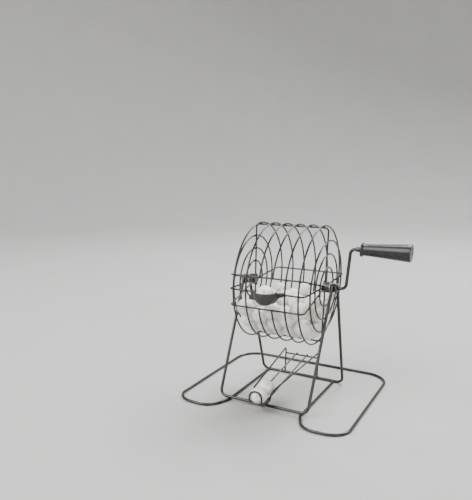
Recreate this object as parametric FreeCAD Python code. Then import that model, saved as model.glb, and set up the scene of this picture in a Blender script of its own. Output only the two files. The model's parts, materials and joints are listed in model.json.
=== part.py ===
"""Bingo cage: a wire drum on a bent-wire stand, with a crank, a ball cup and a ball run.

Millimetres. X is the axle's line, towards the crank. Y is the back. Z is up from the table.
The origin is on the table under the middle of the axle.
Angles on the drum are measured round the axle from the front, positive downwards.
"""
import FreeCAD, Part
import math
import os
import random

V = FreeCAD.Vector

# ---- driving sizes -------------------------------------------------------------------------
AXLE_Z = 153.0            # axle centre above the table
DRUM_R = 75.0             # hoop centreline radius
DRUM_WIRE = 2.2           # wire of hoops, rings and ribs
WELD_SINK = 0.2           # how far two welded wires sink into each other
HOOP_PITCH = 17.1         # spacing of the six hoops
CAP_X = 50.9              # plane of each end cap's rings
RING_RADII = (24.7, 41.3, 57.8)
RIB_BEND = 4.5
RIB_R = DRUM_R - DRUM_WIRE + WELD_SINK
RIB_FACE_X = CAP_X - DRUM_WIRE + WELD_SINK
RIB_FRONT = -1.0
RIB_ANGLES = {"rib_lower_front": 16.0, "rib_bottom": 90.0, "rib_rear": 183.5,
              "rib_top": 270.0, "rib_upper_front": -15.0}
GATE = (RIB_ANGLES["rib_upper_front"], RIB_ANGLES["rib_lower_front"])
GATE_HOOPS = (3, 4)       # the two middle hoops stop at the gate's ribs
GATE_LAP = 1.0            # degrees that they run on past the ribs

AXLE_R = 2.0
RUNNING_GAP = 0.05        # radial clearance of a turning fit
HUB_R = 7.0
HUB_X = (47.6, 56.2)
WASHER_X = (56.2, 57.0)
WASHER_R = 6.4

FRAME_WIRE = 4.0
FRAME_HALF_X = 62.0       # the two frames are alike and stand side by side at the axle
FRONT_FRAME_X = -2.4      # middle of the front frame
REAR_FRAME_X = 1.8
FRAME_BEND = 9.0
LOOP_WIRE = 3.8
FRONT_BAR = (-68.3, LOOP_WIRE + FRAME_WIRE / 2 - WELD_SINK)     # y, z: lies on the base loop
REAR_BAR = (61.5, FRAME_WIRE / 2)                               # y, z: lies on the table
EYE_TURN = 268.0          # degrees that a frame's wire goes round the axle
LOOP_TAIL_X = 51.0        # the tails run under the front bar to the rear bar
LOOP_HALF_X = 117.0
LOOP_REAR_Y = 117.0
LOBE_Y = (-71.0, -101.2, -98.0)     # the three corners of each lobe, from the tail outwards
LOBE_INNER_X = 64.5
LOOP_BENDS = [16.0, 24.0, 26.0, 33.0]

AXLE_CAP_X = (66.7, 71.2)
AXLE_CAP_R = 4.6

CRANK_ARM_X = (75.8, 78.4)    # arm's line at the axle and at the pin
CRANK_THROW = 50.0
CRANK_BEND = 6.5
PIN_END_X = 146.4
COLLAR_X = (84.9, 89.4)
COLLAR_R = 3.1
GRIP_X = (91.0, 149.6)
GRIP_FLANGE_R = 8.5
GRIP_NECK_R = 6.7
GRIP_END_R = 10.5
GRIP_POCKET_X = 143.4
GRIP_POCKET_R = 6.3
RETAINER_X = (144.2, 145.2)
RETAINER_R = 5.2
PLUG_X = 147.4

BALL_R = 10.75
PILE_COUNT = 52
PILE_GAP = 1.1            # inside the ribs and end caps; the cup's lugs pass through it
SETTLE_STEPS = 1000
SETTLE_FALL = 0.7         # first step down, fading to nothing
SETTLE_SHAKE = 2.0        # first random step, fading to nothing

CUP_CENTRE = (5.2, -85.4, 3.6)      # from the axle
CUP_R = 12.2              # inside of the bowl
CUP_WALL = 2.1
CUP_RIM_Z = 6.0           # rim above the axle
CUP_BACK_Y = -77.0        # the bowl is open towards the drum behind this
CUP_LIP_Z = -5.2          # the lip that a ball rolls over
CUP_BLOCK = 60.0          # a block larger than the cup
LUG_X = (-19.5, 23.6)
LUG_Y = (-78.4, -71.2)
LUG_OUTLINE = [(LUG_X[0], -2.0), (LUG_X[0], -7.8), (-12.6, -8.2), (-6.4, -9.8), (12.6, -9.8),
               (16.8, -4.0), (19.6, -1.4), (LUG_X[1], -1.0), (LUG_X[1], 3.6), (-15.4, 3.6),
               (-16.2, -2.0)]         # X and height from the drum's axis
WAY_IN_DEPTH = 3.0        # how far the ball's way in is cut past the cup's back
RIB_SOCKET_X = (-9.5, 18.6)   # where the front rib's two ends stop, inside the lugs
REST_GAP = 0.3            # between a loose ball and what it lies on

RUN_WIRE = 2.4
RAIL_X = 8.0
RAIL_REAR = (61.6, 34.6)      # y, z of the rails' rear ends
RAIL_FRONT = (-88.8, 14.8)    # y, z where the hairpin's closed end turns up
RAIL_TIP = (-95.4, 17.6)
RAIL_BENDS = [5.0, 4.0]       # where the rails turn up, and at the closed end
ARCH_R = 8.4
ARCH_Z = 24.7
ARCH_Y = -93.5
GUARD_REAR = (25.3, 61.5, 41.0)
GUARD_FRONT = (13.0, -73.0, 28.0)
GUARD_KNEE = (9.4, -71.6, 14.5)
GUARD_V_Z = 2.6               # height of the V's corner in front of the bar
GUARD_BENDS = [4.0, 5.0, 4.0]
GUARD_V_BEND = [2.5]
BALL_STOP_Y = -84.5           # front ball's centre against the arch


# ---- helpers -------------------------------------------------------------------------------
def on_drum(radius, angle_deg, x=0.0):
    """A point at a radius and angle round the axle."""
    angle = math.radians(angle_deg)
    return V(x, -radius * math.cos(angle), AXLE_Z - radius * math.sin(angle))


def fillet_edges(points, bends):
    """Straight edges through the points, joined by tangent arcs of the given bend radii."""
    edges = []
    start = points[0]
    for i in range(1, len(points) - 1):
        back = (points[i - 1] - points[i]).normalize()
        ahead = (points[i + 1] - points[i]).normalize()
        half = 0.5 * math.acos(max(-1.0, min(1.0, back.dot(ahead))))
        bend = bends[i - 1]
        reach = bend / math.tan(half)
        arc_in = points[i] + back * reach
        arc_out = points[i] + ahead * reach
        middle = points[i] + (back + ahead).normalize() * (bend / math.sin(half) - bend)
        edges.append(Part.LineSegment(start, arc_in).toShape())
        edges.append(Part.Arc(arc_in, middle, arc_out).toShape())
        start = arc_out
    edges.append(Part.LineSegment(start, points[-1]).toShape())
    return edges


def swept(edges, diameter):
    """A round wire along a smooth path of edges."""
    path = Part.Wire(edges)
    first = edges[0]
    origin = first.valueAt(first.FirstParameter)
    heading = first.tangentAt(first.FirstParameter)
    section = Part.Wire(Part.makeCircle(diameter / 2, origin, heading))
    return path.makePipeShell([section], True, False)


def bent(points, bends, diameter):
    """A bent round wire through corner points; bends is one radius or one per corner."""
    if not isinstance(bends, (list, tuple)):
        bends = [bends] * (len(points) - 2)
    return swept(fillet_edges(points, bends), diameter)


def rod(start, end, diameter):
    axis = end - start
    return Part.makeCylinder(diameter / 2, axis.Length, start, axis)


def tube_x(x_range, outer, inner=0.0, height=0.0):
    """A turned piece along X, centred on the axle line raised by height."""
    low, high = min(x_range), max(x_range)
    base = V(low, 0, AXLE_Z + height)
    body = Part.makeCylinder(outer, high - low, base, V(1, 0, 0))
    if inner:
        body = body.cut(Part.makeCylinder(inner, high - low, base, V(1, 0, 0)))
    return body


def soften(shape, radius, picks):
    """Rounds the edges that picks accepts."""
    chosen = [edge for edge in shape.Edges if picks(edge)]
    return shape.makeFillet(radius, chosen) if chosen else shape


# ---- drum ----------------------------------------------------------------------------------
def hoop(index):
    """Hoop 1 is farthest from the crank. The gate hoops run from the gate's lower rib round the
    back to its upper rib."""
    x = (index - 3.5) * HOOP_PITCH
    if index not in GATE_HOOPS:
        return Part.makeTorus(DRUM_R, DRUM_WIRE / 2, V(x, 0, AXLE_Z), V(1, 0, 0))
    start = GATE[1] - GATE_LAP
    end = GATE[0] + GATE_LAP + 360
    arc = Part.Arc(*[on_drum(DRUM_R, angle, x) for angle in (start, (start + end) / 2, end)])
    return swept([arc.toShape()], DRUM_WIRE)


def cap_ring(side, radius):
    return Part.makeTorus(radius, DRUM_WIRE / 2, V(side * CAP_X, 0, AXLE_Z), V(1, 0, 0))


def spoke(angle, side):
    """Corner points of a rib's run out from the hub and onto the drum."""
    x = side * RIB_FACE_X
    return [on_drum(HUB_R - 0.5, angle, x), on_drum(RIB_R, angle, x)]


def rib(angle):
    """A rib: out along the left cap, across the drum inside the hoops, in along the right cap."""
    return bent(spoke(angle, -1) + spoke(angle, 1)[::-1], RIB_BEND, DRUM_WIRE)


def front_rib_end(side):
    """The front rib is in two halves, each ending in one of the cup's lugs."""
    socket = RIB_SOCKET_X[0] if side < 0 else RIB_SOCKET_X[1]
    return bent(spoke(RIB_FRONT, side) + [on_drum(RIB_R, RIB_FRONT, socket)], RIB_BEND, DRUM_WIRE)


def hub(side):
    body = tube_x([side * x for x in HUB_X], HUB_R, AXLE_R)
    outer = side * HUB_X[1]
    return soften(body, 0.8, lambda e: abs(e.CenterOfMass.x - outer) < 0.01
                  and e.Length > 2 * math.pi * HUB_R - 1)


def cup():
    """A moulded bowl, open upwards and towards the drum, with a lug on each side."""
    centre = V(*CUP_CENTRE) + V(0, 0, AXLE_Z)
    bowl = Part.makeSphere(CUP_R + CUP_WALL, centre)
    rim = AXLE_Z + CUP_RIM_Z
    kept = Part.makeBox(CUP_BLOCK, CUP_BLOCK, CUP_BLOCK,
                        V(centre.x - CUP_BLOCK / 2, CUP_BACK_Y - CUP_BLOCK, rim - CUP_BLOCK))
    bowl = bowl.common(kept)
    # the lugs and the web below the lip, in the X-Z plane: a low tab on the left beside its
    # lug, a taper on the right
    corners = [V(x, LUG_Y[0], AXLE_Z + z) for x, z in LUG_OUTLINE]
    plate = Part.Face(Part.makePolygon(corners + corners[:1]))
    body = bowl.fuse(plate.extrude(V(0, LUG_Y[1] - LUG_Y[0], 0)))
    body = body.cut(Part.makeSphere(CUP_R, centre))
    way_in = V(centre.x, CUP_BACK_Y - WAY_IN_DEPTH, AXLE_Z + CUP_LIP_Z + CUP_R)
    body = body.cut(Part.makeCylinder(CUP_R, CUP_BLOCK, way_in, V(0, 1, 0)))
    for side, socket in zip((-1, 1), RIB_SOCKET_X):
        end = on_drum(RIB_R, RIB_FRONT, side * CUP_BLOCK)
        body = body.cut(rod(on_drum(RIB_R, RIB_FRONT, socket), end, DRUM_WIRE))
    return body.removeSplitter()


def cup_ball():
    x, y, z = CUP_CENTRE
    return Part.makeSphere(BALL_R, V(x, y, AXLE_Z + z - (CUP_R - BALL_R - REST_GAP)))


# ---- axle, crank and grip ------------------------------------------------------------------
def stub_axle():
    return tube_x([-HUB_X[0], -AXLE_CAP_X[1] + 1.0], AXLE_R)


def axle_cap():
    body = tube_x([-x for x in AXLE_CAP_X], AXLE_CAP_R)
    body = body.cut(tube_x([-AXLE_CAP_X[0], -AXLE_CAP_X[1] + 1.0], AXLE_R))
    return soften(body, 1.6, lambda e: abs(e.CenterOfMass.x + AXLE_CAP_X[1]) < 0.01)


def crank():
    corners = [V(HUB_X[0], 0, AXLE_Z), V(CRANK_ARM_X[0], 0, AXLE_Z),
               V(CRANK_ARM_X[1], 0, AXLE_Z + CRANK_THROW), V(PIN_END_X, 0, AXLE_Z + CRANK_THROW)]
    return bent(corners, CRANK_BEND, 2 * AXLE_R)


def grip():
    """A flared handle with a flange at its small end, turned about the crank pin."""
    start, end = GRIP_X
    bore = AXLE_R + RUNNING_GAP
    half = [(start, bore), (start, GRIP_FLANGE_R - 0.7), (start + 0.7, GRIP_FLANGE_R),
            (start + 1.9, GRIP_FLANGE_R), (start + 2.8, GRIP_FLANGE_R - 0.6),
            (start + 4.4, GRIP_NECK_R), (end - 1.6, GRIP_END_R), (end - 0.5, GRIP_END_R - 0.3),
            (end, GRIP_END_R - 1.1), (end, GRIP_POCKET_R), (GRIP_POCKET_X, GRIP_POCKET_R),
            (GRIP_POCKET_X, bore)]
    pin_z = AXLE_Z + CRANK_THROW
    corners = [V(x, 0, pin_z + r) for x, r in half]
    face = Part.Face(Part.makePolygon(corners + corners[:1]))
    return face.revolve(V(start, 0, pin_z), V(1, 0, 0), 360)


# ---- stand ---------------------------------------------------------------------------------
def frame(middle_x, bar):
    """A U-shaped wire: up from the bar to an eye round the axle at each end.

    Each leg runs tangent to its eye, and the eye goes three quarters of a turn over the axle."""
    bar_y, bar_z = bar
    eye_r = AXLE_R + RUNNING_GAP + FRAME_WIRE / 2
    outward = 1.0 if bar_y > 0 else -1.0
    rise = AXLE_Z - bar_z
    # elevation of the point where a line from the bar touches the eye's outer side
    touch_angle = math.atan2(abs(bar_y), rise) - math.asin(eye_r / math.hypot(bar_y, rise))

    def eye_point(x, turned_deg):
        angle = touch_angle + math.radians(turned_deg)
        return V(x, outward * eye_r * math.cos(angle), AXLE_Z + eye_r * math.sin(angle))

    edges = []
    left, right = middle_x - FRAME_HALF_X, middle_x + FRAME_HALF_X
    turns = (0, EYE_TURN / 2, EYE_TURN)
    edges.append(Part.Arc(*[eye_point(left, turn) for turn in turns[::-1]]).toShape())
    corners = [eye_point(left, 0), V(left, bar_y, bar_z), V(right, bar_y, bar_z),
               eye_point(right, 0)]
    edges += fillet_edges(corners, [FRAME_BEND, FRAME_BEND])
    edges.append(Part.Arc(*[eye_point(right, turn) for turn in turns]).toShape())
    return swept(edges, FRAME_WIRE)


def base_loop():
    """One wire on the table: from the rear bar forward under the front bar, out round a lobe at
    each side and behind, and back the same way."""
    z = LOOP_WIRE / 2
    tail_y = REAR_BAR[0] - FRAME_WIRE / 2 + WELD_SINK
    half = [(LOOP_TAIL_X, tail_y), (LOOP_TAIL_X, LOBE_Y[0]), (LOBE_INNER_X, LOBE_Y[1]),
            (LOOP_HALF_X, LOBE_Y[2]), (LOOP_HALF_X, LOOP_REAR_Y)]
    right = [V(x, y, z) for x, y in half]
    left = [V(-x, y, z) for x, y in reversed(half)]
    return bent(right + left, LOOP_BENDS + LOOP_BENDS[::-1], LOOP_WIRE)


# ---- ball run ------------------------------------------------------------------------------
def rail_slope():
    return math.atan2(RAIL_REAR[1] - RAIL_FRONT[1], RAIL_REAR[0] - RAIL_FRONT[0])


def rail_z(y):
    return RAIL_FRONT[1] + (y - RAIL_FRONT[0]) * math.tan(rail_slope())


def run_rails():
    """Two rails made as one hairpin, closed at the front, sloping down to it."""
    left = [V(-RAIL_X, *RAIL_REAR), V(-RAIL_X, *RAIL_FRONT), V(-RAIL_X, *RAIL_TIP)]
    right = [V(-p.x, p.y, p.z) for p in reversed(left)]
    return bent(left + right, RAIL_BENDS + RAIL_BENDS[::-1], RUN_WIRE)


def stop_arch():
    """The arch that stops the front ball, standing on the rails."""
    climb = (RAIL_TIP[1] - RAIL_FRONT[1]) / (RAIL_TIP[0] - RAIL_FRONT[0])
    foot = RAIL_FRONT[1] + climb * (ARCH_Y - RAIL_FRONT[0]) + RUN_WIRE / 2 - WELD_SINK
    left = V(-ARCH_R, ARCH_Y, ARCH_Z)
    right = V(ARCH_R, ARCH_Y, ARCH_Z)
    edges = [Part.LineSegment(V(-ARCH_R, ARCH_Y, foot), left).toShape(),
             Part.Arc(left, V(0, ARCH_Y, ARCH_Z + ARCH_R), right).toShape(),
             Part.LineSegment(right, V(ARCH_R, ARCH_Y, foot)).toShape()]
    return swept(edges, RUN_WIRE)


def guard_wire():
    """One wire: up a post on the rear bar, along one side of the run, down in a V in front of
    the front bar and back along the other side to the second post."""
    post_foot = FRAME_WIRE - WELD_SINK
    v_y = FRONT_BAR[0] - FRAME_WIRE / 2 - RUN_WIRE / 2 + WELD_SINK
    x, y, z = GUARD_REAR
    half = [V(x, y, post_foot), V(x, y, z), V(*GUARD_FRONT), V(*GUARD_KNEE),
            V(0, v_y, GUARD_V_Z)]
    mirrored = [V(-p.x, p.y, p.z) for p in reversed(half[:-1])]
    bends = GUARD_BENDS + GUARD_V_BEND + GUARD_BENDS[::-1]
    return bent(half + mirrored, bends, RUN_WIRE)


def rear_tie():
    """The cross rod between the posts, under the rails' rear ends."""
    x = GUARD_REAR[0] - RUN_WIRE + WELD_SINK + RUN_WIRE / 2
    y = GUARD_REAR[1]
    z = rail_z(y) - (RUN_WIRE - WELD_SINK) / math.cos(rail_slope())
    return rod(V(-x, y, z), V(x, y, z), RUN_WIRE)


# ---- balls ---------------------------------------------------------------------------------
def run_ball(places_back):
    """A ball on the rails; the front one rests against the arch."""
    slope = rail_slope()
    lift = math.sqrt((BALL_R + RUN_WIRE / 2 + REST_GAP) ** 2 - RAIL_X ** 2) / math.cos(slope)
    y = BALL_STOP_Y + places_back * (2 * BALL_R + REST_GAP) * math.cos(slope)
    return Part.makeSphere(BALL_R, V(0, y, rail_z(y) + lift))


def settle_pile(count):
    """Ball centres (x, y, z from the axle) of a heap lying in the drum.

    Balls start in the drum's lower part and are shaken down in small steps; after each step the
    ones that overlap are pushed apart and kept inside the ribs and the end caps."""
    draw = random.Random(11)
    apart = 2 * BALL_R + 0.06
    wall_r = RIB_R - DRUM_WIRE / 2 - PILE_GAP - BALL_R
    wall_x = RIB_FACE_X - DRUM_WIRE / 2 - PILE_GAP - BALL_R
    balls = []
    while len(balls) < count:
        y, z = draw.uniform(-wall_r, wall_r), draw.uniform(-wall_r, 25.0)
        if math.hypot(y, z) < wall_r:
            balls.append([draw.uniform(-wall_x, wall_x), y, z])

    def confine(ball):
        ball[0] = max(-wall_x, min(wall_x, ball[0]))
        radius = math.hypot(ball[1], ball[2])
        if radius > wall_r:
            ball[1] *= wall_r / radius
            ball[2] *= wall_r / radius

    def push_apart(a, b):
        offset = [p - q for p, q in zip(a, b)]
        gap = math.sqrt(sum(d * d for d in offset))
        if gap < apart:
            push = 0.5 * (apart - gap) / max(gap, 1e-6)
            for k in range(3):
                a[k] += offset[k] * push
                b[k] -= offset[k] * push

    for step in range(SETTLE_STEPS):
        fade = max(0.0, 1.0 - step / (0.7 * SETTLE_STEPS))
        for ball in balls:
            for k in range(3):
                ball[k] += draw.uniform(-SETTLE_SHAKE, SETTLE_SHAKE) * fade
            ball[2] -= SETTLE_FALL * fade
        for _ in range(3):
            for i, a in enumerate(balls):
                for b in balls[:i]:
                    if abs(a[0] - b[0]) < apart and abs(a[1] - b[1]) < apart:
                        push_apart(a, b)
            for ball in balls:
                confine(ball)
    return balls


def ball_pile():
    solids = [Part.makeSphere(BALL_R, V(x, y, AXLE_Z + z)) for x, y, z in settle_pile(PILE_COUNT)]
    return Part.makeCompound(solids)


# ---- assembly ------------------------------------------------------------------------------
def build():
    parts = {}
    for index in range(1, 7):
        parts["hoop_%d" % index] = hoop(index)
    for side, name in ((-1, "left"), (1, "right")):
        for radius, size in zip(RING_RADII, ("inner", "middle", "outer")):
            parts["cap_ring_%s_%s" % (size, name)] = cap_ring(side, radius)
        parts["hub_" + name] = hub(side)
        parts["washer_" + name] = tube_x([side * x for x in WASHER_X], WASHER_R,
                                         AXLE_R + RUNNING_GAP)
        parts["rib_front_" + name] = front_rib_end(side)
    for name, angle in RIB_ANGLES.items():
        parts[name] = rib(angle)
    parts["ball_cup"] = cup()
    parts["cup_ball"] = cup_ball()
    parts["stub_axle"] = stub_axle()
    parts["axle_cap"] = axle_cap()
    parts["crank"] = crank()
    parts["grip_collar"] = tube_x(COLLAR_X, COLLAR_R, AXLE_R, CRANK_THROW)
    parts["grip"] = grip()
    parts["grip_retainer"] = tube_x(RETAINER_X, RETAINER_R, AXLE_R, CRANK_THROW)
    parts["grip_plug"] = tube_x([PLUG_X, GRIP_X[1]], GRIP_POCKET_R, 0.0, CRANK_THROW)
    parts["front_frame"] = frame(FRONT_FRAME_X, FRONT_BAR)
    parts["rear_frame"] = frame(REAR_FRAME_X, REAR_BAR)
    parts["base_loop"] = base_loop()
    parts["run_rails"] = run_rails()
    parts["stop_arch"] = stop_arch()
    parts["guard_wire"] = guard_wire()
    parts["rear_tie"] = rear_tie()
    parts["run_ball_front"] = run_ball(0)
    parts["run_ball_rear"] = run_ball(1)
    parts["ball_pile"] = ball_pile()
    return parts


os.makedirs("parts", exist_ok=True)
for node, shape in build().items():
    shape.exportStep("parts/%s.step" % node)
    print(node, len(shape.Solids), shape.isValid(), round(shape.Volume, 1))
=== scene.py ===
"""A tabletop bingo cage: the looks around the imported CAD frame. Metres; +X along the crank axle."""
import json
import math
import random

import bmesh
import bpy
from mathutils import Euler, Matrix, Vector, noise
from mathutils.bvhtree import BVHTree


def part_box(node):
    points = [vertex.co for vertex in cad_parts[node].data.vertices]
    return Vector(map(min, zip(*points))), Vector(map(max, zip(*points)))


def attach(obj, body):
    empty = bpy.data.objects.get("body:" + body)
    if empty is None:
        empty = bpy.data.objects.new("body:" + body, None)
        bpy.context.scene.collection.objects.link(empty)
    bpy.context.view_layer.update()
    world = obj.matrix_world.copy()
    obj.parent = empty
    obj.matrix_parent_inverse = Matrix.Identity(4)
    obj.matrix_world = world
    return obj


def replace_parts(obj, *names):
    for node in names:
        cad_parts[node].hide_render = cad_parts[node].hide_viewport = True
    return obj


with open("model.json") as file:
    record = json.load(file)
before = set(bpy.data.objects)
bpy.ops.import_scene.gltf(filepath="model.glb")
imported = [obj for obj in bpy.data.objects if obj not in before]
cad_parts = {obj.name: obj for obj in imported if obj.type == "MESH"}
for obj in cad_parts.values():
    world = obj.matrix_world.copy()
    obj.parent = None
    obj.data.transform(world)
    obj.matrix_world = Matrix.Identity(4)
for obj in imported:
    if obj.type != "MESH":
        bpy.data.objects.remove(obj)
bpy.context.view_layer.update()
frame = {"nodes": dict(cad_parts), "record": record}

MM = 0.001
NODES = frame["nodes"]
BODIES = frame["record"]["behaviour"]["bodies"]

SAME_POINT = 0.002 * MM         # vertices closer than this are one
BALL_R = 10.75 * MM
BALL_COLUMNS = 48
BALL_ROWS = 14                  # from the moulding line to each pole
SEAM_RISE = 0.05 * MM           # the moulding line round a ball's middle
SEAM_ROWS = (-1.1, -0.55, 0.0, 0.55, 1.1)      # latitudes in degrees
SEAM_EDGE = 0.0195              # radians, just beyond the outer seam rows
PRINT_RISE = 0.03 * MM          # thickness of the printed ink
PRINT_HEIGHT = 6.0 * MM
PRINT_EDGE = 1.3 * MM           # the longest edge in a printed number
PRINT_CUTS = 4                  # times that longer edges are halved
FULL_SET = 75                   # numbers in a set of balls
NUMBER_STEP = 37                # from one ball's number to the next, so that none repeats

WELD_R = 1.5 * MM               # drum
RUN_WELD_R = 1.725 * MM
HEAVY_WELD_R = 2.3 * MM         # stand
TOUCH = 0.35 * MM               # closer than this, two wires are welded
JOINT_SPAN = 5 * MM             # touching points this close belong to one weld
TABLE_GAP = 0.2 * MM            # between the lowest welds and the table

CUP_VOXEL = 0.3 * MM
CUP_SMOOTHING = 24

# the grip, in mm
LATHE_COLUMNS = 120
MOULD_RIDGE = 0.07              # along each side of the grip
RIDGE_FROM_R = 6.4              # the ridge is only on the outside
BORE_R = 2.05
FLANGE_STEP = 2.0               # the flange's radius is this much less than the flared end's
NECK_STEP = 3.8
POCKET_STEP = 4.2
POCKET_DEPTH = 6.2
FLANGE_X = (2.3, 3.2)           # the flange's far face, and where the flare starts
FLARE_POWER = 1.06              # just over 1, so the flare is slightly hollow

# the stage, in metres
INNER_R = 0.6                   # a ring of the flat floor, under and around the cage
FLAT_R = 1.9                    # the floor is flat as far as this
BOWL_R = 1.3                    # radius of the curve up to the wall
WALL_TOP = 4.2
LIT_POINT = Vector((0, 0, 0.14))    # the lights aim here

# the camera
SENSOR_WIDTH = 36.0
LENS = 38.708
SHIFT = (0.032, 0.20)
VIEW_AZIMUTH, VIEW_ELEVATION = math.radians(29.656), math.radians(19.403)
VIEW_PLACE = (0.2644, -0.6473, 0.3038)


# ---- materials -----------------------------------------------------------------------------
class Shade:
    """A node material. Texture coordinates are the object's own, in metres."""

    def __init__(self, name, **constants):
        self.mat = bpy.data.materials.new(name)
        self.mat.use_nodes = True
        self.tree = self.mat.node_tree
        self.bsdf = self.tree.nodes["Principled BSDF"]
        self.coords = self.tree.nodes.new("ShaderNodeTexCoord").outputs["Object"]
        for socket, value in constants.items():
            self.bsdf.inputs[socket.replace("_", " ")].default_value = value

    def link(self, source, target):
        self.tree.links.new(source, target)

    def noise(self, size_mm, detail=3.0, rough=0.55, stretch=None):
        """Noise whose largest features are about size_mm across."""
        node = self.tree.nodes.new("ShaderNodeTexNoise")
        node.inputs["Scale"].default_value = 1.0 / (size_mm * MM)
        node.inputs["Detail"].default_value = detail
        node.inputs["Roughness"].default_value = rough
        coords = self.coords
        if stretch:
            mapping = self.tree.nodes.new("ShaderNodeMapping")
            mapping.inputs["Scale"].default_value = stretch
            self.link(coords, mapping.inputs["Vector"])
            coords = mapping.outputs["Vector"]
        self.link(coords, node.inputs["Vector"])
        return node.outputs["Fac"]

    def ramp(self, factor, stops):
        """Colour stops as (position, grey or colour)."""
        node = self.tree.nodes.new("ShaderNodeValToRGB")
        elements = node.color_ramp.elements
        while len(elements) < len(stops):
            elements.new(0.5)
        for element, (position, colour) in zip(elements, stops):
            element.position = position
            rgb = (colour,) * 3 if isinstance(colour, float) else colour
            element.color = (*rgb, 1.0)
        self.link(factor, node.inputs["Fac"])
        return node.outputs["Color"]

    def mix(self, factor, a, b, blend="MIX"):
        node = self.tree.nodes.new("ShaderNodeMix")
        node.data_type = "RGBA"
        node.blend_type = blend
        for socket, value in (("Factor", factor), ("A", a), ("B", b)):
            target = [s for s in node.inputs if s.name == socket and s.enabled][0]
            if isinstance(value, bpy.types.NodeSocket):
                self.link(value, target)
            elif socket == "Factor":
                target.default_value = value
            else:
                target.default_value = (*value, 1.0)
        return [s for s in node.outputs if s.enabled][0]

    def colour(self, source):
        self.link(source, self.bsdf.inputs["Base Color"])

    def roughness(self, factor, low, high):
        node = self.tree.nodes.new("ShaderNodeMapRange")
        node.inputs["From Min"].default_value = 0.3
        node.inputs["From Max"].default_value = 0.7
        node.inputs["To Min"].default_value = low
        node.inputs["To Max"].default_value = high
        self.link(factor, node.inputs["Value"])
        self.link(node.outputs["Result"], self.bsdf.inputs["Roughness"])

    def bump(self, *layers):
        """Layers are (height, depth in mm), the coarsest first."""
        last = None
        for height, depth_mm in layers:
            node = self.tree.nodes.new("ShaderNodeBump")
            node.inputs["Distance"].default_value = depth_mm * MM
            node.inputs["Strength"].default_value = 1.0
            self.link(height, node.inputs["Height"])
            if last:
                self.link(last, node.inputs["Normal"])
            last = node.outputs["Normal"]
        self.link(last, self.bsdf.inputs["Normal"])

    def island_tone(self):
        node = self.tree.nodes.new("ShaderNodeNewGeometry")
        return node.outputs["Random Per Island"]


def enamel(name, dark, light, rubbed, rough):
    """Baked black enamel on drawn wire: orange peel and rubbed patches."""
    s = Shade(name, Specular_IOR_Level=0.4, Coat_Weight=0.15, Coat_Roughness=0.1)
    tone = s.ramp(s.noise(9.0, 4.0), [(0.35, dark), (0.7, light)])
    worn = s.ramp(s.noise(2.6, 6.0, 0.68), [(0.66, 0.0), (0.8, 0.5)])
    s.colour(s.mix(worn, tone, rubbed))
    s.roughness(s.noise(1.8, 5.0, 0.6), rough[0], rough[1])
    s.bump((s.noise(1.3, 2.0), 0.02), (s.noise(0.3, 3.0, 0.6), 0.006))
    return s.mat


def moulded(name, dark, light, rough, grain_mm, grain_depth, scuff, **constants):
    """Moulded plastic: slight tone change, spark-eroded grain and paler scuffs."""
    s = Shade(name, **constants)
    tone = s.ramp(s.noise(7.0, 3.0), [(0.35, dark), (0.68, light)])
    marks = s.ramp(s.noise(3.2, 7.0, 0.72, (1.0, 0.35, 2.2)), [(0.6, 0.0), (0.72, 0.6)])
    s.colour(s.mix(marks, tone, scuff))
    s.roughness(s.noise(2.4, 4.0), rough[0], rough[1])
    s.bump((s.noise(8.0, 2.0), 0.05), (s.noise(grain_mm, 2.0), grain_depth))
    return s.mat


def ball_plastic(name, shade):
    """Ivory ball plastic: each ball its own tone, rubbed grey marks and small dents."""
    s = Shade(name, Specular_IOR_Level=0.45, Subsurface_Weight=0.1,
              Subsurface_Scale=1.2 * MM, Subsurface_Radius=(1.0, 0.85, 0.7),
              Coat_Weight=0.12, Coat_Roughness=0.3)
    tones = [(0.78, 0.755, 0.705), (0.85, 0.84, 0.81), (0.81, 0.78, 0.72)]
    each = s.ramp(s.island_tone(), [(place, tuple(c * shade for c in tone))
                                    for place, tone in zip((0.0, 0.5, 1.0), tones)])
    grime = s.ramp(s.noise(4.0, 7.0, 0.72), [(0.47, (1.0, 1.0, 1.0)), (0.62, (0.93, 0.92, 0.895)),
                                             (0.76, (0.74, 0.73, 0.70))])
    s.colour(s.mix(1.0, each, grime, "MULTIPLY"))
    s.roughness(s.noise(1.6, 5.0), 0.28, 0.46)
    s.bump((s.noise(2.2, 3.0), 0.04), (s.noise(0.35, 2.0), 0.006))
    return s.mat


def zinc_plate():
    s = Shade("zinc_plate", Metallic=1.0, Specular_IOR_Level=0.5)
    tone = s.ramp(s.noise(1.6, 5.0, 0.65), [(0.3, (0.40, 0.40, 0.39)), (0.7, (0.62, 0.62, 0.60))])
    stain = s.ramp(s.noise(4.0, 5.0), [(0.55, 0.0), (0.7, 0.5)])
    s.colour(s.mix(stain, tone, (0.27, 0.26, 0.24)))
    s.roughness(s.noise(0.8, 4.0), 0.28, 0.5)
    s.bump((s.noise(0.5, 3.0, 0.6, (1.0, 4.0, 4.0)), 0.012),)
    return s.mat


def print_ink():
    s = Shade("number_ink", Specular_IOR_Level=0.35)
    s.colour(s.ramp(s.noise(0.9, 5.0, 0.7), [(0.4, (0.10, 0.10, 0.105)),
                                             (0.75, (0.26, 0.255, 0.25))]))
    s.roughness(s.noise(0.7), 0.4, 0.6)
    s.bump((s.noise(0.3), 0.006),)
    return s.mat


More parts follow.
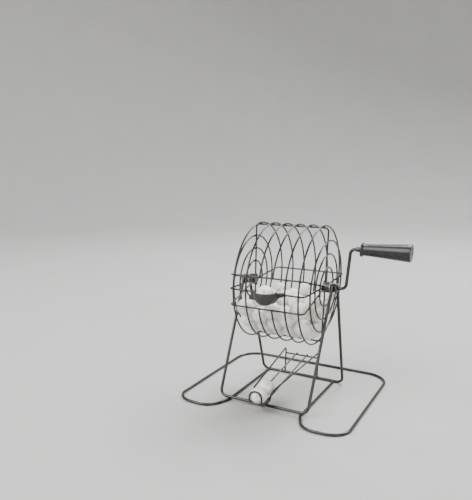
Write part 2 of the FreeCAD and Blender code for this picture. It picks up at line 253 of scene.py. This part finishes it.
DRUM_WIRE = enamel("drum_enamel", (0.013, 0.0115, 0.0105), (0.026, 0.0235, 0.0215),
                   (0.085, 0.077, 0.07), (0.20, 0.31))
STAND_WIRE = enamel("stand_enamel", (0.014, 0.0125, 0.0115), (0.028, 0.025, 0.023),
                    (0.085, 0.077, 0.07), (0.20, 0.30))
RUN_WIRE = enamel("run_enamel", (0.017, 0.015, 0.0135), (0.034, 0.0305, 0.028),
                  (0.11, 0.10, 0.09), (0.18, 0.29))
CRANK_WIRE = enamel("crank_enamel", (0.014, 0.0125, 0.0115), (0.027, 0.0245, 0.0225),
                    (0.13, 0.12, 0.11), (0.18, 0.29))
HUB_METAL = enamel("hub_enamel", (0.024, 0.022, 0.021), (0.05, 0.047, 0.044),
                   (0.2, 0.19, 0.18), (0.24, 0.40))
ZINC = zinc_plate()
GRIP = moulded("grip_black_plastic", (0.010, 0.0098, 0.0095), (0.019, 0.0185, 0.018),
               (0.25, 0.32), 0.6, 0.001, (0.03, 0.0295, 0.0285), Specular_IOR_Level=0.4)
CUP = moulded("cup_grey_plastic", (0.027, 0.026, 0.025), (0.042, 0.0405, 0.0385),
              (0.42, 0.62), 0.3, 0.02, (0.08, 0.077, 0.073), Specular_IOR_Level=0.35)
BALL = ball_plastic("ball_ivory_plastic", 1.0)
SEAM = ball_plastic("ball_seam_plastic", 0.8)
INK = print_ink()

SLOT_MATERIALS = {
    "drum_wire": DRUM_WIRE, "stand_wire": STAND_WIRE, "run_wire": RUN_WIRE,
    "crank_wire": CRANK_WIRE, "hub": HUB_METAL, "zinc": ZINC, "grip_plastic": GRIP,
    "cup_plastic": CUP, "ball_plastic": BALL,
}


# ---- mesh helpers --------------------------------------------------------------------------
class Builder:
    """Collects many small shapes into one mesh, each with its own material number."""

    def __init__(self):
        self.verts, self.faces, self.numbers = [], [], []

    def add(self, verts, faces, numbers=None):
        first = len(self.verts)
        self.verts += verts
        self.faces += [[first + i for i in face] for face in faces]
        self.numbers += numbers or [0] * len(faces)

    def piece(self, name, materials, body, slot):
        mesh = bpy.data.meshes.new(name)
        mesh.from_pydata(self.verts, [], self.faces)
        for material in materials:
            mesh.materials.append(material)
        mesh.polygons.foreach_set("material_index", self.numbers)
        mesh.polygons.foreach_set("use_smooth", [True] * len(self.faces))
        mesh.update()
        piece = bpy.data.objects.new(name, mesh)
        bpy.context.scene.collection.objects.link(piece)
        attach(piece, body)
        return piece


def template(make, **settings):
    """Points and faces of a shape that bmesh makes."""
    bm = bmesh.new()
    make(bm, **settings)
    bm.verts.index_update()
    points = [v.co.copy() for v in bm.verts]
    faces = [[v.index for v in f.verts] for f in bm.faces]
    bm.free()
    return points, faces


def solids_of(node):
    """Centre of each separate solid in a CAD node, found from its loose pieces of mesh."""
    bm = bmesh.new()
    bm.from_mesh(NODES[node].data)
    bmesh.ops.remove_doubles(bm, verts=bm.verts, dist=SAME_POINT)
    seen, centres = set(), []
    for start in bm.verts:
        if start in seen:
            continue
        stack, island = [start], []
        seen.add(start)
        while stack:
            vert = stack.pop()
            island.append(vert.co)
            for edge in vert.link_edges:
                other = edge.other_vert(vert)
                if other not in seen:
                    seen.add(other)
                    stack.append(other)
        low = [min(co[k] for co in island) for k in range(3)]
        high = [max(co[k] for co in island) for k in range(3)]
        centres.append((Vector(low) + Vector(high)) / 2)
    bm.free()
    return centres


# ---- balls with a moulding seam and printed numbers ----------------------------------------
def seamed_sphere():
    """A ball whose mould halves met in a fine raised line round the middle.

    Gives its points, its faces off the line, and the faces on the line."""
    latitudes = [math.radians(d) for d in SEAM_ROWS]
    for step in range(1, BALL_ROWS + 1):
        latitude = math.radians(SEAM_ROWS[-1] + (90 - SEAM_ROWS[-1]) * step / BALL_ROWS)
        latitudes = [-latitude] + latitudes + [latitude]
    points = [Vector((0, 0, -BALL_R))]
    for latitude in latitudes[1:-1]:
        radius = BALL_R + (SEAM_RISE if abs(latitude) < 0.01 else 0.0)
        for column in range(BALL_COLUMNS):
            angle = math.tau * column / BALL_COLUMNS
            points.append(Vector((math.cos(latitude) * math.cos(angle),
                                  math.cos(latitude) * math.sin(angle),
                                  math.sin(latitude))) * radius)
    points.append(Vector((0, 0, BALL_R)))
    plain, seam = [], []
    rings = len(latitudes) - 2
    for column in range(BALL_COLUMNS):
        here, there = 1 + column, 1 + (column + 1) % BALL_COLUMNS
        plain.append((0, there, here))
        for ring in range(rings - 1):
            low, high = ring * BALL_COLUMNS, (ring + 1) * BALL_COLUMNS
            on_seam = max(abs(latitudes[ring + 1]), abs(latitudes[ring + 2])) < SEAM_EDGE
            face = (here + low, there + low, there + high, here + high)
            (seam if on_seam else plain).append(face)
        last = (rings - 1) * BALL_COLUMNS
        plain.append((here + last, there + last, len(points) - 1))
    return points, plain, seam


def glyph_mesh(text):
    """The outline of a printed number, cut fine enough to lie on a ball."""
    curve = bpy.data.curves.new("glyph", "FONT")
    curve.body = text
    curve.size = PRINT_HEIGHT
    curve.resolution_u = 3
    maker = bpy.data.objects.new("glyph", curve)
    mesh = bpy.data.meshes.new_from_object(maker)
    bm = bmesh.new()
    bm.from_mesh(mesh)
    bpy.data.objects.remove(maker)
    bpy.data.meshes.remove(mesh)
    bmesh.ops.triangulate(bm, faces=bm.faces)
    bmesh.ops.remove_doubles(bm, verts=bm.verts, dist=0.01 * MM)
    for _ in range(PRINT_CUTS):
        long_edges = [e for e in bm.edges if e.calc_length() > PRINT_EDGE]
        if long_edges:
            bmesh.ops.subdivide_edges(bm, edges=long_edges, cuts=1)
            bmesh.ops.triangulate(bm, faces=bm.faces)
    bm.verts.index_update()
    low = [min(v.co[k] for v in bm.verts) for k in range(2)]
    high = [max(v.co[k] for v in bm.verts) for k in range(2)]
    points = [(v.co.x - (low[0] + high[0]) / 2, v.co.y - (low[1] + high[1]) / 2)
              for v in bm.verts]
    faces = {tuple(sorted(v.index for v in f.verts)): [v.index for v in f.verts]
             for f in bm.faces}
    bm.free()
    return points, list(faces.values())


GLYPHS = {}                     # each number's points and faces, once made
SPHERE = seamed_sphere()


def printed(centre, text, toward, up):
    """A number on the ball, centred where the direction `toward` leaves it."""
    if text not in GLYPHS:
        GLYPHS[text] = glyph_mesh(text)
    points, faces = GLYPHS[text]
    z = toward.normalized()
    x = up.cross(z).normalized()
    y = z.cross(x)
    verts = []
    for px, py in points:
        flat = max(math.hypot(px, py), 1e-9)
        angle = flat / BALL_R
        outward = z * math.cos(angle) + (x * px + y * py) * (math.sin(angle) / flat)
        verts.append(centre + outward * (BALL_R + PRINT_RISE))
    return verts, faces


def ball_piece(name, node, body, prints):
    """Balls for one CAD node. prints gives, for each ball, (text, toward, up) rows."""
    shapes = Builder()
    draw = random.Random(len(name))
    centres = sorted(solids_of(node), key=lambda c: (round(c.z, 5), round(c.x, 5), round(c.y, 5)))
    for index, centre in enumerate(centres):
        turn = Euler([draw.uniform(0, math.tau) for _ in range(3)]).to_matrix()
        sphere = [centre + turn @ co for co in SPHERE[0]]
        shapes.add(sphere, SPHERE[1] + SPHERE[2], [0] * len(SPHERE[1]) + [2] * len(SPHERE[2]))
        for text, toward, up in prints(index, turn):
            verts, faces = printed(centre, text, toward, up)
            shapes.add(verts, faces, [1] * len(faces))
    piece = shapes.piece(name, [BALL, INK, SEAM], body, "ball_plastic")
    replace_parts(piece, node)
    return piece


def both_sides(index, turn):
    """A heap ball shows its number on two opposite sides, wherever it has rolled to."""
    text = str(1 + (index * NUMBER_STEP) % FULL_SET)
    toward = turn @ Vector((0, 0, 1))
    up = turn @ Vector((0, 1, 0))
    return [(text, toward, up), (text, -toward, up)]


def facing(text, toward, up=(0, 0, 1)):
    toward, up = Vector(toward), Vector(up)
    return lambda index, turn: [(text, toward, up), (text, -toward, up)]


ball_piece("heap_balls", "ball_pile", "stand", both_sides)
ball_piece("cup_ball_shell", "cup_ball", "cup_ball", facing("8", (0.25, -1.0, 0.62)))
ball_piece("run_ball_front_shell", "run_ball_front", "run_ball_front",
           facing("24", (0.35, -1.0, 0.42)))
ball_piece("run_ball_rear_shell", "run_ball_rear", "run_ball_rear",
           facing("17", (0.4, -0.7, 0.95), (0.2, 0.8, 0.6)))


# ---- weld beads wherever two wires of one body touch ----------------------------------------
def touching_points(node_a, node_b):
    """Centres of the places where two CAD nodes meet."""
    low_a, high_a = BOXES[node_a]
    low_b, high_b = BOXES[node_b]
    if any(low_a[k] > high_b[k] + TOUCH or low_b[k] > high_a[k] + TOUCH for k in range(3)):
        return []
    near = []
    for vert in NODES[node_a].data.vertices:
        co = vert.co
        if all(low_b[k] - TOUCH <= co[k] <= high_b[k] + TOUCH for k in range(3)):
            found = TREES[node_b].find_nearest(co, TOUCH)
            if found[0] is not None:
                near.append((co + found[0]) / 2)
    groups = []
    for point in near:
        for group in groups:
            if (group[0] - point).length < JOINT_SPAN:
                group.append(point)
                break
        else:
            groups.append([point])
    return [sum(g, Vector()) / len(g) for g in groups]


NUGGET = template(bmesh.ops.create_icosphere, subdivisions=3, radius=1.0)


def bead(centre, radius, draw):
    """Points of a small uneven nugget of weld, smooth under the enamel, clear of the table."""
    shift = Vector([draw.uniform(0, 50) for _ in range(3)])
    points = [centre + co * radius * (1.0 + 0.2 * noise.noise(co * 1.3 + shift)
                                      + 0.06 * noise.noise(co * 4 + shift)) for co in NUGGET[0]]
    for point in points:
        point.z = max(point.z, TABLE_GAP)
    return points


def weld_beads(name, groups, body, slot, material, radius):
    shapes = Builder()
    draw = random.Random(5)
    done = set()
    for first, second in groups:
        for a in first:
            for b in second:
                if a == b or (b, a) in done:
                    continue
                done.add((a, b))
                for centre in touching_points(a, b):
                    shapes.add(bead(centre, radius * draw.uniform(0.92, 1.1), draw), NUGGET[1])
    return shapes.piece(name, [material], body, slot)


hoops = [n for n in BODIES["drum"] if n.startswith("hoop_")]
ribs = [n for n in BODIES["drum"] if n.startswith("rib_")]
rings = [n for n in BODIES["drum"] if n.startswith("cap_ring_")]
hubs = ["hub_left", "hub_right"]
frames = ["front_frame", "rear_frame"]         # not welded to each other: they share the axle
floor_wires = ["base_loop", "rear_tie"]
stand_wires = frames + floor_wires
run_wires = ["run_rails", "guard_wire", "stop_arch"]
BOXES = {n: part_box(n) for n in hoops + ribs + rings + hubs + stand_wires + run_wires}
TREES = {}
for node in BOXES:
    mesh = NODES[node].data
    TREES[node] = BVHTree.FromPolygons([v.co for v in mesh.vertices],
                                       [p.vertices for p in mesh.polygons])

weld_beads("drum_welds", [(hoops + rings, ribs)], "drum", "drum_wire", DRUM_WIRE, WELD_R)
weld_beads("hub_welds", [(ribs, hubs)], "drum", "drum_wire", DRUM_WIRE, WELD_R)
weld_beads("stand_welds", [(frames, floor_wires), (floor_wires, floor_wires)], "stand",
           "stand_wire", STAND_WIRE, HEAVY_WELD_R)
weld_beads("run_welds", [(run_wires, stand_wires), (run_wires, run_wires)], "stand", "run_wire",
           RUN_WIRE, RUN_WELD_R)


# ---- grip ------------------------------------------------------------------------------------
def lathe_x(profile, start, centre_z, ridge=0.0):
    """A closed body turned about a line along X. profile is (distance along, radius) in mm.

    ridge raises the two columns of vertices where the mould halves met."""
    verts, faces = [], []
    count = len(profile)
    for column in range(LATHE_COLUMNS):
        angle = math.tau * column / LATHE_COLUMNS
        raised = ridge if column % (LATHE_COLUMNS // 2) == 0 else 0.0
        for along, radius in profile:
            r = (radius + (raised if radius > RIDGE_FROM_R else 0.0)) * MM
            verts.append(Vector((start + along * MM, r * math.cos(angle),
                                 centre_z + r * math.sin(angle))))
    for column in range(LATHE_COLUMNS):
        a, b = column * count, (column + 1) % LATHE_COLUMNS * count
        for row in range(count):
            after = (row + 1) % count
            faces.append((a + row, b + row, b + after, a + after))
    return verts, faces


def rounded(corners, radius, steps=5):
    """The profile with each corner replaced by a small arc-like curve."""
    smooth = []
    for i, corner in enumerate(corners):
        point = Vector(corner)
        before = Vector(corners[i - 1]) - point
        after = Vector(corners[(i + 1) % len(corners)]) - point
        cut = min(radius, before.length * 0.45, after.length * 0.45)
        first, last = point + before.normalized() * cut, point + after.normalized() * cut
        for k in range(steps + 1):
            t = k / steps
            smooth.append(first * (1 - t) ** 2 + point * (2 * t * (1 - t)) + last * t * t)
    return smooth


def flared_grip():
    """The grip's shell, flanged at the crank and flared to its end, and the domed plug in it."""
    low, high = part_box("grip")
    plug_low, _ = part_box("grip_plug")
    length, middle = (high.x - low.x) / MM, (low.z + high.z) / 2
    end_r = (high.z - low.z) / 2 / MM
    flange_r, neck_r, pocket_r = end_r - FLANGE_STEP, end_r - NECK_STEP, end_r - POCKET_STEP
    rim_r = end_r - 0.05
    flange, flare = FLANGE_X
    pocket = length - POCKET_DEPTH
    shape = [(0, BORE_R), (0, flange_r - 0.1), (flange, flange_r), (flare, neck_r + 0.1)]
    shape += [(flare + (length - flare) * t, neck_r + (rim_r - neck_r) * t ** FLARE_POWER)
              for t in (0.12, 0.3, 0.5, 0.7, 0.88)]
    shape += [(length, rim_r), (length, pocket_r), (pocket, pocket_r), (pocket, BORE_R)]
    shell = Builder()
    shell.add(*lathe_x(rounded(shape, 0.75), low.x, middle, MOULD_RIDGE))
    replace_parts(shell.piece("grip_shell", [GRIP], "grip", "grip_plastic"), "grip")

    depth = (high.x - plug_low.x) / MM
    dome = [(0, 0.3), (0, pocket_r - 0.3), (depth - 0.7, pocket_r - 0.06),
            (depth - 0.25, pocket_r - 0.9), (depth - 0.12, 3.4), (depth - 0.02, 1.5),
            (depth - 0.5, 1.1), (depth - 0.5, 0.3)]
    plug = Builder()
    plug.add(*lathe_x(rounded(dome, 0.3, 3), plug_low.x, middle))
    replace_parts(plug.piece("grip_end_plug", [GRIP], "grip", "grip_plastic"), "grip_plug")


flared_grip()


# ---- cup -------------------------------------------------------------------------------------
def moulded_cup():
    """The cup as it leaves its mould: the CAD solid's shape with every edge rounded over."""
    mesh = NODES["ball_cup"].data.copy()
    mesh.name = "cup_shell"
    mesh.materials.clear()
    mesh.materials.append(CUP)
    piece = bpy.data.objects.new("cup_shell", mesh)
    bpy.context.scene.collection.objects.link(piece)
    weld = piece.modifiers.new("weld", "WELD")
    weld.merge_threshold = 0.005 * MM
    remesh = piece.modifiers.new("remesh", "REMESH")
    remesh.mode = "VOXEL"
    remesh.voxel_size = CUP_VOXEL
    remesh.use_smooth_shade = True
    smooth = piece.modifiers.new("smooth", "SMOOTH")
    smooth.factor = 0.5
    smooth.iterations = CUP_SMOOTHING
    made = bpy.data.meshes.new_from_object(piece.evaluated_get(
        bpy.context.evaluated_depsgraph_get()))
    piece.modifiers.clear()
    piece.data = made
    for polygon in made.polygons:
        polygon.use_smooth = True
    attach(piece, "drum")
    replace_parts(piece, "ball_cup")


moulded_cup()

# ---- CAD nodes take their finished materials -------------------------------------------------
for node in NODES.values():
    for holder in node.material_slots:
        holder.material = SLOT_MATERIALS[holder.material.name.split(".")[0]]


# ---- stage, light, camera --------------------------------------------------------------------
def stage_bowl():
    """A pale floor that curves up into a wall all round."""
    s = Shade("pale_floor", Specular_IOR_Level=0.25)
    s.colour(s.ramp(s.noise(120.0, 3.0), [(0.3, (0.40, 0.395, 0.388)),
                                          (0.7, (0.42, 0.415, 0.408))]))
    s.roughness(s.noise(40.0), 0.6, 0.75)
    bm = bmesh.new()
    profile = [(0.0, 0.0), (INNER_R, 0.0), (FLAT_R, 0.0)]
    profile += [(FLAT_R + BOWL_R * math.sin(a), BOWL_R - BOWL_R * math.cos(a))
                for a in [math.radians(t) for t in range(9, 91, 9)]]
    profile.append((FLAT_R + BOWL_R, WALL_TOP))
    verts = [bm.verts.new((r, 0, z)) for r, z in profile]
    edges = [bm.edges.new(pair) for pair in zip(verts, verts[1:])]
    bmesh.ops.spin(bm, geom=verts + edges, cent=(0, 0, 0), axis=(0, 0, 1), angle=math.tau,
                   steps=96)
    bmesh.ops.remove_doubles(bm, verts=bm.verts, dist=1e-5)
    bmesh.ops.recalc_face_normals(bm, faces=bm.faces)
    mesh = bpy.data.meshes.new("floor")
    for face in bm.faces:
        face.smooth = True
    bm.to_mesh(mesh)
    bm.free()
    floor = bpy.data.objects.new("floor", mesh)
    bpy.context.scene.collection.objects.link(floor)
    mesh.materials.append(s.mat)


def area_light(name, place, size, watts):
    light = bpy.data.lights.new(name, "AREA")
    light.shape = "RECTANGLE"
    light.size, light.size_y = size
    light.energy = watts
    lamp = bpy.data.objects.new(name, light)
    lamp.location = place
    lamp.rotation_euler = (LIT_POINT - lamp.location).to_track_quat("-Z", "Y").to_euler()
    bpy.context.scene.collection.objects.link(lamp)


def view_camera():
    camera = bpy.data.cameras.new("camera")
    camera.sensor_width = SENSOR_WIDTH
    camera.lens = LENS
    camera.shift_x, camera.shift_y = SHIFT
    camera.clip_start = 0.01
    view = bpy.data.objects.new("camera", camera)
    level = Vector((-math.sin(VIEW_AZIMUTH), math.cos(VIEW_AZIMUTH), 0))
    forward = level * math.cos(VIEW_ELEVATION) - Vector((0, 0, math.sin(VIEW_ELEVATION)))
    right = Vector((math.cos(VIEW_AZIMUTH), math.sin(VIEW_AZIMUTH), 0))
    up = right.cross(forward)
    turn = Matrix((right, up, -forward)).transposed().to_4x4()
    view.matrix_world = Matrix.Translation(VIEW_PLACE) @ turn
    bpy.context.scene.collection.objects.link(view)
    bpy.context.scene.camera = view


stage_bowl()
area_light("key", (-1.0, -1.6, 1.7), (1.9, 1.9), 98)
area_light("rim", (0.5, 1.45, 1.85), (1.8, 0.5), 80)
area_light("top", (-0.15, 0.75, 2.35), (0.9, 0.9), 40)
area_light("fill", (1.8, -1.35, 0.9), (1.5, 1.5), 20)

world = bpy.data.worlds.new("studio")
world.use_nodes = True
world.node_tree.nodes["Background"].inputs["Color"].default_value = (0.92, 0.93, 0.95, 1)
world.node_tree.nodes["Background"].inputs["Strength"].default_value = 0.45
bpy.context.scene.world = world
view_camera()
